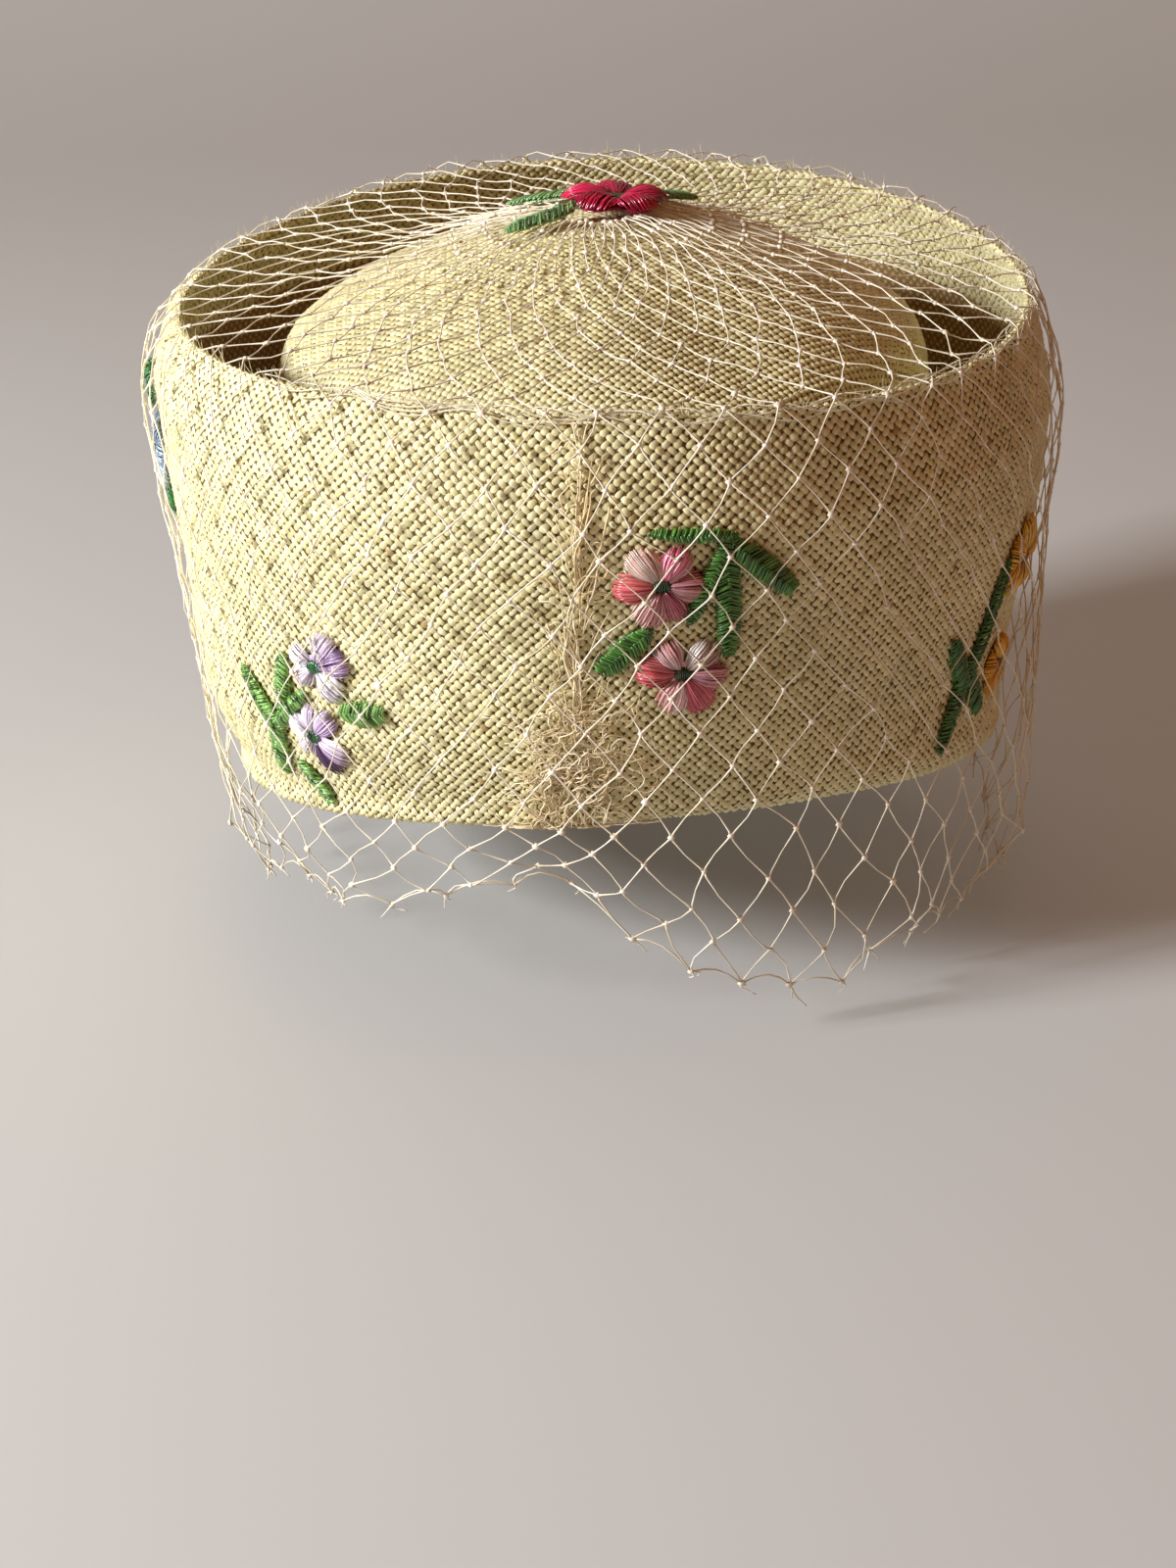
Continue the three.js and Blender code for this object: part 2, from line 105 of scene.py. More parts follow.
floor_below = 10 * MM
floor_size = 3.0
sweep = 0.5
sweep_start = 0.9
sweep_end = sweep * math.pi / 2
floor_mesh = bmesh.new()
bmesh.ops.create_grid(floor_mesh, x_segments=2, y_segments=48, size=floor_size)
for v in floor_mesh.verts:
    behind = max(v.co.y - sweep_start, 0)
    swing = min(behind, sweep_end) / sweep
    v.co.y = min(v.co.y, sweep_start) + sweep * math.sin(swing)
    v.co.z = sweep * (1 - math.cos(swing)) + max(behind - sweep_end, 0) + cad_box[0][2] - floor_below
floor_data = bpy.data.meshes.new("floor")
floor_mesh.to_mesh(floor_data)
floor_mesh.free()
floor_data.shade_smooth()
floor = bpy.data.objects.new("floor", floor_data)
bpy.context.collection.objects.link(floor)
# Matt studio paper, which glows faintly so that it stays pale past the lamps' reach.
paper, _ = new_material("studio_paper", Base_Color=linear("#babab5"), Roughness=0.9,
                        Emission_Color=linear("#cfcac2"), Emission_Strength=0.1)
floor_data.materials.append(paper)

# Each lamp: azimuth, height, reach from the middle, size, power and colour.
lamps = {
    "key": (-66, 0.66, 1.3, 0.3, 34, "#f6f8ff"),
    "fill": (60, 0.7, 1.6, 1.4, 1.9, "#ff9c58"),
    "top": (170, 1.5, 0.5, 1.2, 2.4, "#ffe9d2"),
}
lit_spot = Vector((0, 0, 0.07))
for name, (azimuth, height, reach, size, power, colour) in lamps.items():
    data = bpy.data.lights.new(name, "AREA")
    data.energy = power
    data.size = size
    data.color = linear(colour)[:3]
    light = bpy.data.objects.new(name, data)
    bpy.context.collection.objects.link(light)
    angle = math.radians(azimuth)
    light.location = (reach * math.sin(angle), -reach * math.cos(angle), height)
    light.rotation_euler = (lit_spot - light.location).to_track_quat("-Z", "Y").to_euler()

# The room lights the shaded side warmly, and the camera itself sees a plain pale backdrop.
world = bpy.data.worlds.new("studio")
world.use_nodes = True
room = world.node_tree.nodes["Background"]
room.inputs["Color"].default_value = linear("#ff9650")
room.inputs["Strength"].default_value = 0.13
backdrop = add_node(world, "Background", {"Color": linear("#a8a29b"), "Strength": 1.0})
ray = add_node(world, "LightPath")
is_camera = ray.outputs["Is Camera Ray"]
seen = add_node(world, "MixShader", {0: is_camera, 1: room.outputs[0], 2: backdrop.outputs[0]})
world.node_tree.links.new(seen.outputs[0], world.node_tree.nodes["World Output"].inputs["Surface"])
bpy.context.scene.world = world
bpy.context.scene.view_settings.view_transform = "Standard"


# ---- Brim form: the turned-up band's outer face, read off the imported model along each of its
# own azimuth steps and rounded off between them, from the rim down and under the bottom fold.
plan_depth = 1.05
cad_columns = 52
columns = 208
straw_thickness = 1.5 * MM


def ring_spot(azimuth, radius, height):
    """A place on one of the hat's rings, which are longer front to back than across."""
    angle = np.radians(azimuth)
    return np.stack([radius * np.sin(angle), -radius * plan_depth * np.cos(angle), height + 0 * angle], -1)


def tree_of(node):
    """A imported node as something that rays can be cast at."""
    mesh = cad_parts[node].data
    return BVHTree.FromPolygons([v.co for v in mesh.vertices], [p.vertices[:] for p in mesh.polygons])


def cast(tree, azimuth, start, end):
    """Where a ray between two (radius, height) places at an azimuth first meets the node, or None."""
    a, b = (Vector(ring_spot(np.float64(azimuth), *place)) for place in (start, end))
    hit = tree.ray_cast(a, (b - a).normalized(), (b - a).length)[0]
    return hit and (math.hypot(hit.x, hit.y / plan_depth), hit.z)


def rounded(grid):
    """More azimuth columns for a grid[column, row, (radius, height)], by a closed Fourier curve."""
    waves = np.fft.rfft(grid, axis=0) * (columns / len(grid))
    return np.fft.irfft(waves, n=columns, axis=0)


def surface(grid):
    """Places and outward normals of a grid whose rows run down or outwards."""
    azimuth = np.arange(columns) * 360 / columns
    places = ring_spot(azimuth[:, None], grid[..., 0], grid[..., 1])
    along = np.gradient(places, axis=1)
    around = np.roll(places, -1, axis=0) - np.roll(places, 1, axis=0)
    normal = np.cross(along, around)
    return places, normal / np.maximum(np.linalg.norm(normal, axis=-1, keepdims=True), 1e-12)


brim_tree = tree_of("brim")
wall_rows = 72
just_off = 0.1 * MM
rim_radii = np.arange(95.5, 99.6, 0.2) * MM
fold_radii = np.arange(87, 91.6, 0.2) * MM
lip_heights = np.array([0.5, 1.2, 2.4, 4, 6, 7.6]) * MM
brim_paths, wall_lines = [], []
for azimuth in np.arange(cad_columns) * 360 / cad_columns:
    tops = [cast(brim_tree, azimuth, (r, 0.2), (r, 0.06)) for r in rim_radii]
    rim = max((hit for hit in tops if hit), key=lambda hit: hit[1])
    feet = [cast(brim_tree, azimuth, (r, -0.1), (r, 0.04)) for r in fold_radii]
    fold = min((hit for hit in feet if hit), key=lambda hit: hit[1])
    heights = np.linspace(rim[1] - just_off, fold[1] + just_off, wall_rows)
    wall = [cast(brim_tree, azimuth, (0.14, z), (0.05, z)) for z in heights]
    lip = [cast(brim_tree, azimuth, (0.02, z), (0.1, z)) for z in fold[1] + lip_heights]
    wall_lines.append(wall)
    brim_paths.append([*wall, fold, *lip])
wall_grid = rounded(np.array(wall_lines))
brim_grid = rounded(np.array(brim_paths))
brim_places, brim_normals = surface(brim_grid)


def by_length(places, normals, step):
    """The same surface with its rows at even lengths from the first one, and each column's length."""
    run = np.linalg.norm(np.diff(places, axis=1), axis=-1)
    length = np.concatenate([np.zeros((len(places), 1)), run.cumsum(1)], 1)
    marks = np.arange(0, length[:, -1].max() + step, step)
    both = np.concatenate([places, normals], -1)
    table = np.stack([
        np.stack([np.interp(marks, length[c], both[c, :, k]) for k in range(6)], -1)
        for c in range(len(places))
    ])
    return table, length[:, -1]


def read_table(table, azimuth, row):
    """Places and normals of a table at any azimuths and fractional rows."""
    turn_share = (np.asarray(azimuth) % 360) / 360 * columns
    row = np.clip(row, 0, table.shape[1] - 1.001)
    c, r = np.floor(turn_share).astype(int), np.floor(row).astype(int)
    tc, tr = (turn_share - c)[..., None], (row - r)[..., None]
    c0, c1 = c % columns, (c + 1) % columns
    near = table[c0, r] * (1 - tr) + table[c0, r + 1] * tr
    far = table[c1, r] * (1 - tr) + table[c1, r + 1] * tr
    found = near * (1 - tc) + far * tc
    normal = found[..., 3:]
    return found[..., :3], normal / np.linalg.norm(normal, axis=-1, keepdims=True)


# The rows carry on over the rounded rim edge and down the inside of the wall.
row_step = 0.5 * MM
inside_rows = 64
edge_radius = straw_thickness / 2
brim_table, brim_lengths = by_length(brim_places, brim_normals, row_step)
edge_rows = round(math.pi * edge_radius / row_step)
upward = np.array([0, 0, 1.0])
outward = brim_table[:, :1, 3:]
middle = brim_table[:, :1, :3] - edge_radius * outward
edge = []
for k in range(edge_rows):
    swing = math.pi * (1 - (k + 0.5) / edge_rows)
    normal = math.cos(swing) * outward + math.sin(swing) * upward
    edge.append(np.concatenate([middle + edge_radius * normal, normal], -1))
inside = brim_table[:, 1 : inside_rows + 1][:, ::-1]
inside = np.concatenate([inside[..., :3] - straw_thickness * inside[..., 3:], -inside[..., 3:]], -1)
brim_table = np.concatenate([inside, *edge, brim_table], 1)
rim_row = inside_rows + edge_rows


def brim_at(azimuth, down):
    """Place and normal at a distance down the outside of the brim from its rim, or up the inside."""
    return read_table(brim_table, azimuth, down / row_step + rim_row)


# ---- Straw weave: round glossy strands in a plain weave, cut on the bias, so that the rows of
# floats lean left and right in turn. Each float is an arched scale sunk in a backing that is
# painted darker, as painted shade in the holes between the floats.
def joined(name, forms, ringed, dye):
    """One mesh of many alike small forms: forms[form, row, column] are their corners and
    dye[form, row] their colour. Ringed forms are tubes of four columns with capped ends."""
    count, rows, across = forms.shape[:3]
    r, c = np.meshgrid(np.arange(rows - 1), np.arange(across if ringed else across - 1), indexing="ij")
    corner_row = np.stack([r, r, r + 1, r + 1], -1).reshape(-1, 4)
    corner_column = np.stack([c, c + 1, c + 1, c], -1).reshape(-1, 4)
    if ringed:
        cap = np.arange(4)
        corner_row = np.concatenate([corner_row, [[0] * 4, [rows - 1] * 4]])
        corner_column = np.concatenate([corner_column, [cap[::-1], cap]])
    faces = corner_row * across + corner_column % across
    index = (np.arange(count)[:, None, None] * rows * across + faces).reshape(-1)
    mesh = bpy.data.meshes.new(name)
    mesh.vertices.add(count * rows * across)
    mesh.vertices.foreach_set("co", forms.reshape(-1).astype(np.float32))
    mesh.loops.add(len(index))
    mesh.loops.foreach_set("vertex_index", index.astype(np.int32))
    mesh.polygons.add(len(index) // 4)
    mesh.polygons.foreach_set("loop_start", np.arange(0, len(index), 4, dtype=np.int32))
    mesh.update(calc_edges=True)
    mesh.shade_smooth()
    colours = np.broadcast_to(dye[:, :, None], (count, rows, across, 4))
    mesh.color_attributes.new("dye", "FLOAT_COLOR", "POINT")
    mesh.color_attributes["dye"].data.foreach_set("color", colours.reshape(-1).astype(np.float32))
    # A flat map in which each form has its own small square.
    side = math.ceil(math.sqrt(count))
    square = np.stack([np.arange(count) % side, np.arange(count) // side], -1)[:, None, None]
    flat = np.stack([corner_row / (rows - 1), corner_column / across], -1) * 0.7 + 0.15
    spots = (square + flat[None]) / side
    mesh.uv_layers.new(name="OFBake", do_init=False)
    mesh.uv_layers["OFBake"].uv.foreach_set("vector", spots.reshape(-1).astype(np.float32))
    return mesh


def add_piece(name, mesh, material, slot, *nodes):
    """A finished piece on the root body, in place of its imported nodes."""
    piece = bpy.data.objects.new(name, mesh)
    bpy.context.collection.objects.link(piece)
    mesh.materials.append(material)
    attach(piece, "root")
    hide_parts(*nodes)


def mixed(first, second, share):
    """Colours between two hex colours, by an array of shares."""
    a, b = np.array(linear(first)), np.array(linear(second))
    return a + (b - a) * np.clip(share, 0, 1)[..., None]


# A float's half length, half width, height and the depth it is sunk, as shares of the pitch.
float_half_length, float_half_width, float_height, float_sunk = 0.7, 0.395, 0.36, 0.2
float_rows = np.linspace(-1, 1, 5)
float_columns = np.array([-1.0, 0.0, 1.0])


def float_form(pitch, count, rng):
    """Offsets along and across and lifts of count floats, each a little unlike the others."""
    s, t = float_rows[:, None], float_columns[None]
    plump = 1 + 0.12 * rng.standard_normal((count, 1, 1))
    long = 1 + 0.05 * rng.standard_normal((count, 1, 1))
    along = float_half_length * pitch * long * s * (1 - 0.12 * t**2)
    across = float_half_width * pitch * plump * t * np.sqrt(1 - 0.6 * s**2)
    arch = np.cos(0.5 * math.pi * s) ** 0.6
    lift = float_height * pitch * plump * (arch * (1 - 0.7 * t**2)) - float_sunk * pitch
    return along + 0 * lift, across + 0 * lift, lift


slub_share = 0.003


def straw_dye(strand_tint, rng):
    """Strand colours from pale cream to toasted, with rare dark slubs."""
    tint = 0.5 * strand_tint + 0.5 * rng.standard_normal(len(strand_tint))
    colours = mixed("#cdc082", "#f3edbc", 0.6 + 0.24 * tint)
    slub = rng.random(len(tint)) < slub_share
    colours[slub] = mixed("#a48f5c", "#b7a26c", rng.random(slub.sum()))
    return np.repeat(colours[:, None], len(float_rows), 1)


def straw_material():
    """Raffia straw: a hard glossy bast with streaks along each strand, so small bright glints."""
    material, shader = new_material("raffia_straw", Roughness=0.46, IOR=1.5, Specular_IOR_Level=0.45)
    dye = add_node(material, "Attribute", attribute_name="dye").outputs["Color"]
    place = add_node(material, "TexCoord").outputs["Object"]
    streak_width = 0.35 * MM
    streak = add_node(material, "TexNoise", {"Vector": place, "Scale": 1 / streak_width, "Detail": 2})
    mottle_width = 22 * MM
    mottle = add_node(material, "TexNoise", {"Vector": place, "Scale": 1 / mottle_width, "Detail": 3})
    both = add_node(material, "Math", {0: streak.outputs["Fac"], 1: mottle.outputs["Fac"]}, operation="ADD")
    light = add_node(material, "MapRange", {"Value": both.outputs[0], "From Min": 0.6, "From Max": 1.4,
                                            "To Min": 0.8, "To Max": 1.14})
    colour = add_node(material, "VectorMath", {0: dye, "Scale": light.outputs[0]}, operation="SCALE")
    groove = {"Height": streak.outputs["Fac"], "Strength": 0.25, "Distance": 0.1 * MM}
    bump = add_node(material, "Bump", groove)
    material.node_tree.links.new(colour.outputs[0], shader.inputs["Base Color"])
    material.node_tree.links.new(bump.outputs[0], shader.inputs["Normal"])
    return material


straw = straw_material()
strand_pairs = 256
mean_radius = 98 * MM * (1 + plan_depth) / 2
mean_round = 2 * math.pi * mean_radius
bias_step = mean_round / strand_pairs
pitch = bias_step / math.sqrt(2)
lip_margin = 2 * MM
# The columns' azimuths, with the first one again at the end to close the round.
round_turn = np.arange(columns + 1) * 360 / columns


def brim_floats(name, low, high, seed):
    """The floats in the rows between two distances down the outside from the rim."""
    rng = np.random.default_rng(seed)
    rows = np.arange(math.ceil(low / (bias_step / 2)), math.ceil(high / (bias_step / 2)))
    row, column = (grid.reshape(-1) for grid in np.meshgrid(rows, np.arange(strand_pairs), indexing="ij"))
    azimuth = (column + 0.5 * (row % 2)) * 360 / strand_pairs
    down = row * bias_step / 2
    length = np.interp(azimuth, round_turn, np.append(brim_lengths, brim_lengths[0]))
    kept = down < length - lip_margin
    row, column, azimuth, down = row[kept], column[kept], azimuth[kept], down[kept]
    lean = np.where(row % 2, 1, -1)[:, None, None]
    place_in_warp = (2 * column + row % 2 + row) // 2 % strand_pairs
    place_in_weft = (2 * column + row % 2 - row) // 2 % strand_pairs
    warp_tint, weft_tint = np.random.default_rng(5).standard_normal((2, strand_pairs))
    tint = np.where(row % 2, warp_tint[place_in_warp], weft_tint[place_in_weft])
    along, across, lift = float_form(pitch, len(row), rng)
    shift = 0.05 * pitch * rng.standard_normal((2, len(row), 1, 1))
    around = (along - lean * across) / math.sqrt(2) + shift[0]
    below = (lean * along + across) / math.sqrt(2) + shift[1]
    spot, normal = brim_at(azimuth[:, None, None] + around / mean_round * 360, down[:, None, None] + below)
    forms = spot + lift[..., None] * normal
    add_piece(name, joined(name, forms, False, straw_dye(tint, rng)), straw, "straw", "brim")


# The rows are shared between four pieces, so that none has too many triangles.
longest = brim_lengths.max()
top_row, upper_end, middle_end = 0.5 * bias_step, 0.36 * longest, 0.68 * longest
inside_depth = 23 * MM
brim_floats("brim_weave_upper", top_row, upper_end, 11)
brim_floats("brim_weave_middle", upper_end, middle_end, 12)
brim_floats("brim_weave_lower", middle_end, longest, 13)
brim_floats("brim_weave_inside", -inside_depth, top_row, 14)


# The cut edge of the cloth is a little hairy: short fibres stand up from the rim.
def tubes(paths, radii, facing):
    """Tubes of four sides along paths[tube, step], with radii and the way their first side faces."""
    along = np.gradient(paths, axis=1)
    along /= np.maximum(np.linalg.norm(along, axis=-1, keepdims=True), 1e-12)
    side = np.cross(along, np.broadcast_to(facing, paths.shape))
    side /= np.maximum(np.linalg.norm(side, axis=-1, keepdims=True), 1e-12)
    up = np.cross(side, along)
    ring = [up, side, -up, -side]
    return paths[:, :, None] + radii[..., None, None] * np.stack(ring, 2)


fringe_count = 700
fringe_steps = np.linspace(0, 1, 3)
rng = np.random.default_rng(15)
azimuth = rng.uniform(0, 360, fringe_count)[:, None] + rng.normal(0, 0.5, (fringe_count, 1)) * fringe_steps
length = np.abs(rng.normal(1.3, 0.8, (fringe_count, 1))) * MM
spot, normal = brim_at(azimuth, rng.uniform(-1.6, 0.2, (fringe_count, 1)) * MM + 0 * azimuth)
fringe = spot + (length * fringe_steps)[..., None] * 0.7 * (normal + upward)
fringe_radii = np.broadcast_to(np.array([0.09, 0.07, 0.03]) * MM, azimuth.shape)
fringe_dye = np.repeat(mixed("#cdbf7c", "#f8f1c8", rng.random(fringe_count))[:, None], 3, 1)
fringe_tubes = tubes(fringe, fringe_radii, np.cross(normal, upward))
add_piece("brim_fringe", joined("brim_fringe", fringe_tubes, True, fringe_dye), straw, "straw", "brim")


# ---- Brim backing: the straw cloth behind the floats, one closed wall from the lip under the
# fold up to the rim and down the inside. It is painted darker, as painted shade in the weave's
# holes, where it is seen.
def loft(name, rings):
    """A closed mesh through rings[around, across], whose rings close on themselves."""
    around, across = rings.shape[:2]
    work = bmesh.new()
    bmesh.ops.create_grid(work, x_segments=across, y_segments=around, size=1)
    for v in work.verts:
        i, j = round((v.co.y + 1) / 2 * around), round((v.co.x + 1) / 2 * across)
        v.co = Vector(rings[i % around, j % across])
    bmesh.ops.remove_doubles(work, verts=work.verts, dist=1e-7)
    bmesh.ops.recalc_face_normals(work, faces=work.faces)
    mesh = bpy.data.meshes.new(name)
    work.to_mesh(mesh)
    work.free()
    mesh.shade_smooth()
    return mesh


def backing_material(name, shaded_groove_colour, rib_colour):
    """Plain straw cloth: duller than the floats, with the same bias weave as raised ribs and
    painted shade in the grooves between them.
    """
    material, shader = new_material(name, Roughness=0.62, Specular_IOR_Level=0.3)
    place = add_node(material, "TexCoord").outputs["Object"]
    apart = add_node(material, "SeparateXYZ", {"Vector": place})
    turned = add_node(material, "Math", {0: apart.outputs["X"], 1: apart.outputs["Y"]}, operation="ARCTAN2")
    arc = add_node(material, "Math", {0: turned.outputs[0], 1: mean_radius}, operation="MULTIPLY")
    cloth = add_node(material, "CombineXYZ", {"X": arc.outputs[0], "Y": apart.outputs["Z"]})
    # A wave texture's bands repeat every 2 pi / 20 units of its scale.
    rib_scale = 2 * math.pi / 20 / pitch
    wobble = 0.4
    ribs = []
    for lean in (45, -45):
        turned_cloth = {"Vector": cloth.outputs[0], "Rotation": (0, 0, math.radians(lean))}
        bias = add_node(material, "Mapping", turned_cloth)
        wave = add_node(material, "TexWave", {"Vector": bias.outputs[0], "Scale": rib_scale,
                                              "Distortion": wobble, "Detail Scale": 900.0})
        ribs.append(wave.outputs["Fac"])
    high = add_node(material, "Math", {0: ribs[0], 1: ribs[1]}, operation="MULTIPLY")
    # The grooves take the first, darker colour: painted shade between the ribs.
    colour = add_node(material, "ValToRGB", {"Fac": high.outputs[0]})
    colour.color_ramp.elements[0].color = linear(shaded_groove_colour)
    colour.color_ramp.elements[1].color = linear(rib_colour)
    bump = add_node(material, "Bump", {"Height": high.outputs[0], "Strength": 0.6, "Distance": 0.35 * MM})
    material.node_tree.links.new(colour.outputs[0], shader.inputs["Base Color"])
    material.node_tree.links.new(bump.outputs[0], shader.inputs["Normal"])
    return material


# The backing's darker colours are painted shade for the holes between the floats.
backing = backing_material("straw_backing", "#66512b", "#a9945c")
inner_cloth = backing_material("straw_inner_face", "#98794a", "#dfc592")
crown_cloth = backing_material("straw_crown_cloth", "#8f7c48", "#d8c88f")
sunk = 0.4 * MM
crest_rise = 0.2 * MM


def wall_between(name, outer_depth, inner_depth, material):
    """A closed wall between two depths under the brim's outer face, on every second row and column."""
    outer = (brim_places - outer_depth * brim_normals)[::2, ::2]
    inner = (brim_places - inner_depth * brim_normals)[::2, ::2]
    crest = (outer[:, :1] + inner[:, :1]) / 2 + crest_rise * upward
    rings = np.concatenate([crest, outer, inner[:, ::-1]], 1)
    add_piece(name, loft(name, rings), material, "straw", "brim")


wall_between("brim_backing", sunk, straw_thickness / 2, backing)
wall_between("brim_inner_face", straw_thickness / 2, straw_thickness - sunk, inner_cloth)


# ---- Crown: the head wall and domed tip inside the brim. The tip's weave is laid square, as the
# cloth was before it was blocked over the dome, with the floats set out in the flat.
crown_tree = tree_of("crown")
tip_edge = 73.4 * MM
tip_radii = tip_edge * np.linspace(0.004, 1, 44)
foot_radii = np.array([85, 85.4, 85.8, 86.2]) * MM
crown_paths = []
for azimuth in np.arange(cad_columns) * 360 / cad_columns:
    tip = [cast(crown_tree, azimuth, (r, 0.2), (r, 0.06)) for r in tip_radii]
    feet = [cast(crown_tree, azimuth, (r, -0.1), (r, 0.09)) for r in foot_radii]
    foot = min(hit[1] for hit in feet if hit)
    heights = np.linspace(tip[-1][1] - 0.8 * MM, foot + 0.2 * MM, 30)
    wall = [cast(crown_tree, azimuth, (0.095, z), (0.03, z)) for z in heights]
    crown_paths.append([*tip, *wall])
crown_places, crown_normals = surface(rounded(np.array(crown_paths)))
crown_normals[:, 0] = (0, 0, 1)
crown_table, _ = by_length(crown_places, crown_normals, row_step)

tip_reach = 89 * MM
tip_pitch = 1.75 * MM
lines = round(tip_reach / tip_pitch)
strands_across = np.arange(-lines, lines + 1)
warp, weft = (grid.reshape(-1) for grid in np.meshgrid(strands_across, strands_across))
flat_x = (warp - weft) * tip_pitch / math.sqrt(2)
flat_y = (warp + weft) * tip_pitch / math.sqrt(2)
kept = np.hypot(flat_x, flat_y / plan_depth) < tip_reach
warp, weft, flat_x, flat_y = warp[kept], weft[kept], flat_x[kept], flat_y[kept]
rng = np.random.default_rng(21)
along, across, lift = float_form(tip_pitch, len(warp), rng)
lean = np.where((warp + weft) % 2, 1, -1)[:, None, None]
x = flat_x[:, None, None] + (along - lean * across) / math.sqrt(2)
y = flat_y[:, None, None] + (lean * along + across) / math.sqrt(2)
reach = np.hypot(x, y / plan_depth)
azimuth = np.degrees(np.arctan2(x, -y / plan_depth))
spot, normal = read_table(crown_table, azimuth, reach / row_step)
warp_tint, weft_tint = rng.standard_normal((2, 2 * lines + 1))
tint = np.where((warp + weft) % 2, warp_tint[warp + lines], weft_tint[weft + lines])
tip_mesh = joined("crown_weave", spot + lift[..., None] * normal, False, straw_dye(tint, rng))
add_piece("crown_weave", tip_mesh, straw, "straw", "crown")

outer = (crown_places - sunk * crown_normals)[::2, ::2]
inner = (crown_places - (straw_thickness - sunk) * crown_normals)[::2, ::2]
crown_wall = loft("crown_backing", np.concatenate([outer, inner[:, ::-1]], 1))
add_piece("crown_backing", crown_wall, crown_cloth, "straw", "crown")


# ---- Net veil: a diamond net of fine twisted thread with square knots, gathered on the tip,
# stretched over the rim and hanging free to a ragged hem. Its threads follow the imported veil.
veil_tree = tree_of("veil")
# A fan of rays towards a place inside the brim finds the veil's outline from its middle to its hem.
fan_middle = (60 * MM, 55 * MM)
fan_reach = 0.16
fan = np.radians(np.arange(124.5, -75, -0.75))
starts = [(fan_middle[0] + fan_reach * math.cos(a), fan_middle[1] + fan_reach * math.sin(a)) for a in fan]
veil_paths = []
for azimuth in np.arange(cad_columns) * 360 / cad_columns:
    hits = [cast(veil_tree, azimuth, start, fan_middle) for start in starts]
    line = np.array([hit for hit in hits if hit])
    run = np.append(0, np.linalg.norm(np.diff(line, axis=0), axis=1).cumsum())
    marks = np.linspace(0, run[-1], 120)
    veil_paths.append(np.stack([np.interp(marks, run, line[:, k]) for k in (0, 1)], -1))
veil_grid = rounded(np.array(veil_paths))
# The form is carried on past its lower edge, for the knots and cut ends that hang below it.
last_stretch = veil_grid[:, -1:] - veil_grid[:, -8:-7]
longer = veil_grid[:, -1:] + last_stretch * np.linspace(0.4, 3, 6)[None, :, None]
veil_places, veil_normals = surface(np.concatenate([veil_grid, longer], 1))
veil_table, _ = by_length(veil_places, veil_normals, row_step)

# Heights of the net's cut edge by azimuth, in millimetres.
hem = {
    -180: -18, -150: -18, -120: -18, -100: -18, -82: -18, -63: -13, -52: -7, -40: -5, -32: -4, -16: 2,
    -11: 8, -5: 4, -1: -2, 5: -11, 11: -14, 15: -19, 21: -21, 26: -25, 34: -20, 45: -22, 56: -18,
    67: -15, 81: -22, 100: -20, 130: -20, 180: -18,
}
net_columns = 51
half_row = 7.9 * MM
level_length = 34 * MM
tip_end, wall_start = 75 * MM, 105 * MM
tip_inset, wall_inset = 0.2 * MM, 0.8 * MM
rng = np.random.default_rng(31)


def net_at(azimuth, down):
    """Place and normal on the veil's form at a distance out from its middle and down."""
    return read_table(veil_table, azimuth, down / row_step)


def hem_length(azimuth):
    """How far down the net its cut edge is: the lowest row above the hem's height there."""
    turned = (azimuth + 180) % 360 - 180
    height = np.interp(turned, list(hem), list(hem.values())) * MM
    rows = np.arange(veil_table.shape[1] - 1)
    line, _ = read_table(veil_table, azimuth[..., None], rows + 0.0)
    return (line[..., 2] > height[..., None]).sum(-1) * row_step


net_start = 3 * MM
all_round = np.arange(360.0)
edge_length = hem_length(all_round)
# One row more than there are knots, for the cut ends under the last of them.
net_rows = 2 + 2 * round((edge_length.mean() - net_start) / half_row / 2)
row, column = np.meshgrid(np.arange(net_rows), np.arange(net_columns), indexing="ij")
knot_azimuth = (column + 0.5 * (row % 2)) * 360 / net_columns + 0.5 * rng.standard_normal(row.shape)
# The rows are level down to the straw's foot. Below it they stretch or bunch to meet the hem.
full = net_start + (net_rows - 2) * half_row
knot_down = net_start + row * half_row + 0.5 * MM * rng.standard_normal(row.shape)
past = np.clip((knot_down - full + level_length) / level_length, 0, 1.2)
knot_down += past * (np.interp(knot_azimuth % 360, all_round, edge_length) - full)
drift = 3.5 * np.sin(np.radians(3 * knot_azimuth + 20)) + 1.1 * rng.standard_normal(row.shape)
knot_azimuth += past * drift
knot_spot, knot_normal = net_at(knot_azimuth, knot_down)
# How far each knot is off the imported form: waving and drawn in below the straw, and a little
# inside it elsewhere, less on the tip, where the form is nearer to the straw.
wave = np.sin(np.radians(knot_azimuth * 7)) + 0.7 * np.sin(np.radians(knot_azimuth * 11 + 60))
loose = (1.8 * wave - 5 * past + 1.5 * rng.standard_normal(row.shape)) * MM * past
loose -= np.interp(knot_down, [tip_end, wall_start], [tip_inset, wall_inset])
loose += 0.2 * MM * rng.standard_normal(row.shape)
knot_there = row < net_rows - 1


